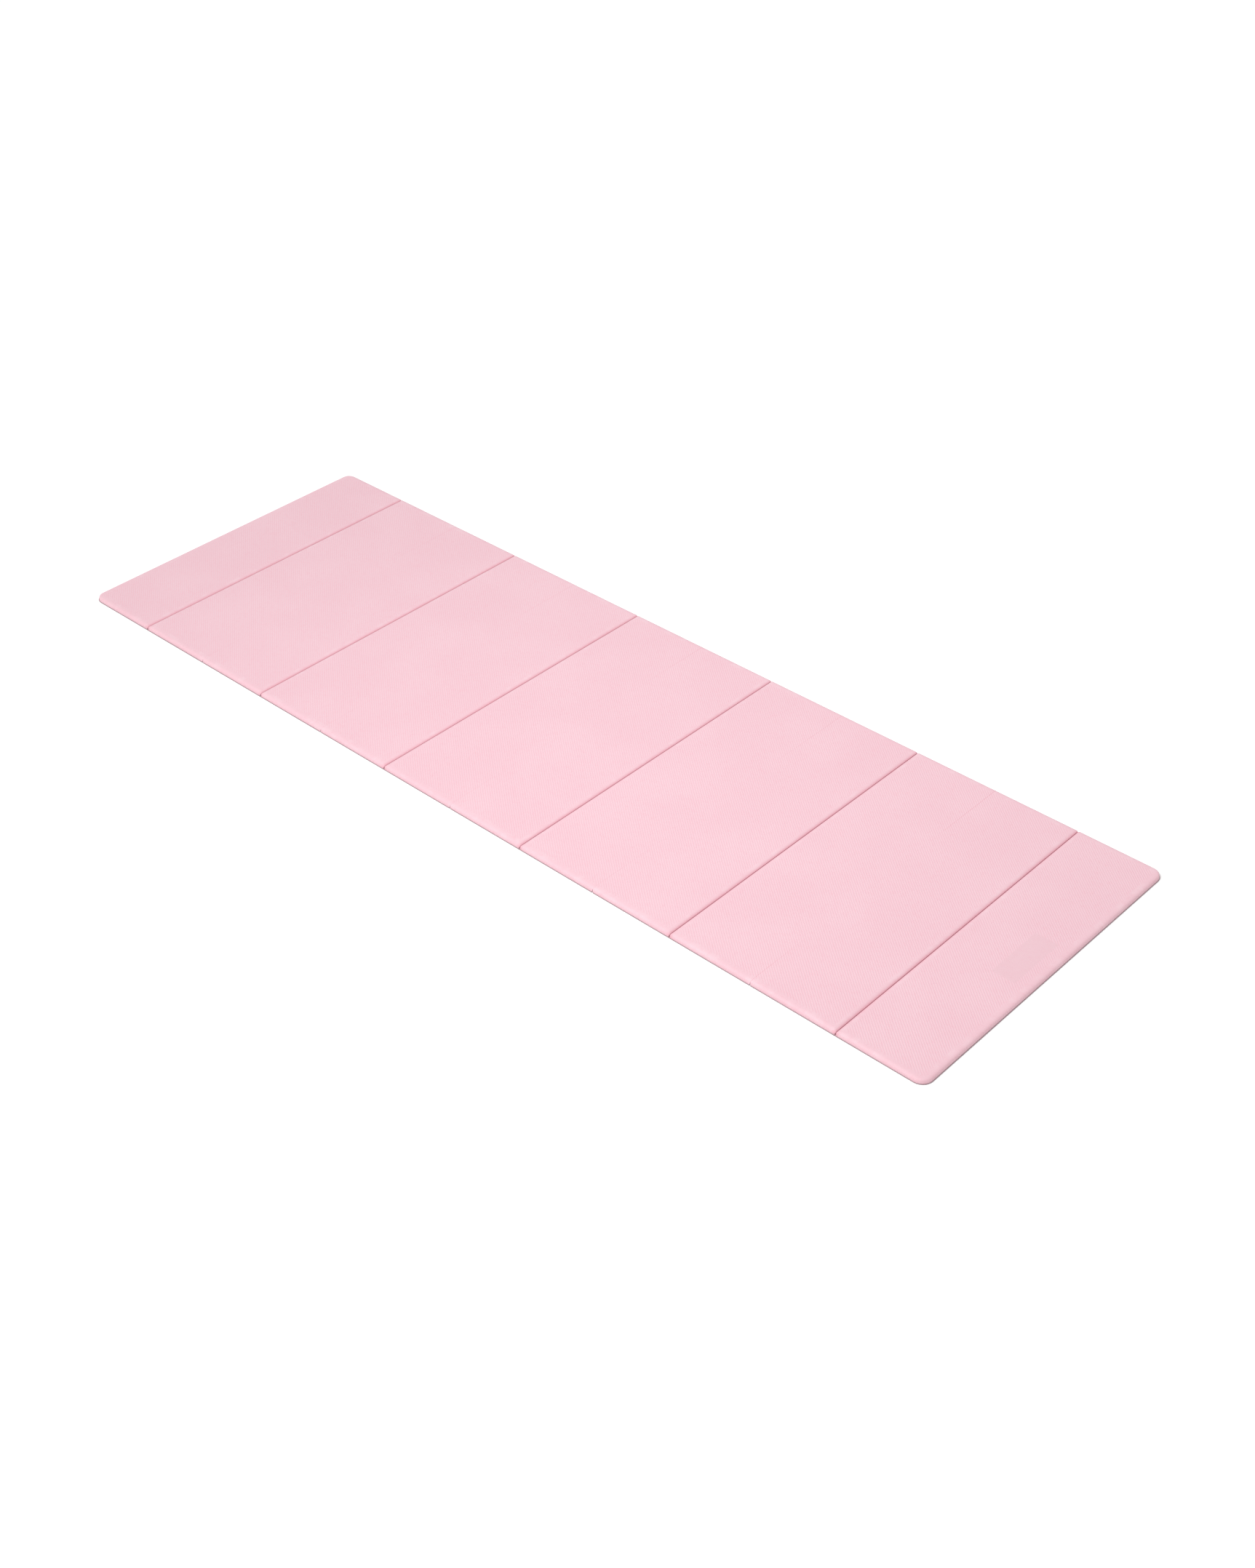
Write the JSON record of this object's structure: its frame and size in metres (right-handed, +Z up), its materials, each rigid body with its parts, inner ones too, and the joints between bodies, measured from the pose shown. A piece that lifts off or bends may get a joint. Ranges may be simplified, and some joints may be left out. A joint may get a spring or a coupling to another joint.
{
  "type": "folding exercise mat",
  "caption": "Thin pale pink foam exercise mat with diagonal ribs, scored across its width so that it folds like an accordion into a flat stack of panels.",
  "frame": {"origin": "centre of the underside of the open mat", "axes": "+X along the length, +Y across the width, +Z up out of the ribbed face"},
  "size_m": [1.8, 0.6, 0.008],
  "materials": {
    "embossed_film": "satin",
    "base_film": "matte",
    "foam": "matte",
    "fold_film": "satin"
  },
  "bodies": {
    "panel_01": {"foam_core_01": "foam", "top_skin_01": "embossed_film", "bottom_skin_01": "base_film", "fold_web_01": "fold_film"},
    "panel_02": {"foam_core_02": "foam", "top_skin_02": "embossed_film", "bottom_skin_02": "base_film"},
    "panel_03": {"foam_core_03": "foam", "top_skin_03": "embossed_film", "bottom_skin_03": "base_film", "fold_web_02": "fold_film"},
    "panel_04": {"foam_core_04": "foam", "top_skin_04": "embossed_film", "bottom_skin_04": "base_film", "fold_web_03": "fold_film"},
    "panel_05": {"foam_core_05": "foam", "top_skin_05": "embossed_film", "bottom_skin_05": "base_film", "fold_web_04": "fold_film"},
    "panel_06": {"foam_core_06": "foam", "top_skin_06": "embossed_film", "bottom_skin_06": "base_film", "fold_web_05": "fold_film"},
    "panel_07": {"foam_core_07": "foam", "top_skin_07": "embossed_film", "bottom_skin_07": "base_film", "fold_web_06": "fold_film"},
    "panel_08": {"foam_core_08": "foam", "top_skin_08": "embossed_film", "bottom_skin_08": "base_film", "fold_web_07": "fold_film"},
    "panel_09": {"foam_core_09": "foam", "top_skin_09": "embossed_film", "bottom_skin_09": "base_film", "fold_web_08": "fold_film"},
    "panel_10": {"foam_core_10": "foam", "top_skin_10": "embossed_film", "bottom_skin_10": "base_film", "fold_web_09": "fold_film"},
    "panel_11": {"foam_core_11": "foam", "top_skin_11": "embossed_film", "bottom_skin_11": "base_film", "fold_web_10": "fold_film"},
    "panel_12": {"foam_core_12": "foam", "top_skin_12": "embossed_film", "bottom_skin_12": "base_film", "fold_web_11": "fold_film"}
  },
  "joints": [
    {"name": "fold_01", "type": "hinge", "parent": "panel_02", "child": "panel_01", "pos_m": [-0.75, 0, -0.00015], "axis": [0, -1, 0], "range_deg": [0, 179.9], "deforming": ["fold_web_01"]},
    {"name": "fold_02", "type": "hinge", "parent": "panel_02", "child": "panel_03", "pos_m": [-0.6, 0, 0.00815], "axis": [0, -1, 0], "range_deg": [0, 179.9], "deforming": ["fold_web_02"]},
    {"name": "fold_03", "type": "hinge", "parent": "panel_03", "child": "panel_04", "pos_m": [-0.45, 0, -0.00015], "axis": [0, 1, 0], "range_deg": [0, 179.9], "deforming": ["fold_web_03"]},
    {"name": "fold_04", "type": "hinge", "parent": "panel_04", "child": "panel_05", "pos_m": [-0.3, 0, 0.00815], "axis": [0, -1, 0], "range_deg": [0, 179.9], "deforming": ["fold_web_04"]},
    {"name": "fold_05", "type": "hinge", "parent": "panel_05", "child": "panel_06", "pos_m": [-0.15, 0, -0.00015], "axis": [0, 1, 0], "range_deg": [0, 179.9], "deforming": ["fold_web_05"]},
    {"name": "fold_06", "type": "hinge", "parent": "panel_06", "child": "panel_07", "pos_m": [0, 0, 0.00815], "axis": [0, -1, 0], "range_deg": [0, 179.9], "deforming": ["fold_web_06"]},
    {"name": "fold_07", "type": "hinge", "parent": "panel_07", "child": "panel_08", "pos_m": [0.15, 0, -0.00015], "axis": [0, 1, 0], "range_deg": [0, 179.9], "deforming": ["fold_web_07"]},
    {"name": "fold_08", "type": "hinge", "parent": "panel_08", "child": "panel_09", "pos_m": [0.3, 0, 0.00815], "axis": [0, -1, 0], "range_deg": [0, 179.9], "deforming": ["fold_web_08"]},
    {"name": "fold_09", "type": "hinge", "parent": "panel_09", "child": "panel_10", "pos_m": [0.45, 0, -0.00015], "axis": [0, 1, 0], "range_deg": [0, 179.9], "deforming": ["fold_web_09"]},
    {"name": "fold_10", "type": "hinge", "parent": "panel_10", "child": "panel_11", "pos_m": [0.6, 0, 0.00815], "axis": [0, -1, 0], "range_deg": [0, 179.9], "deforming": ["fold_web_10"]},
    {"name": "fold_11", "type": "hinge", "parent": "panel_11", "child": "panel_12", "pos_m": [0.75, 0, -0.00015], "axis": [0, 1, 0], "range_deg": [0, 179.9], "deforming": ["fold_web_11"]}
  ]
}
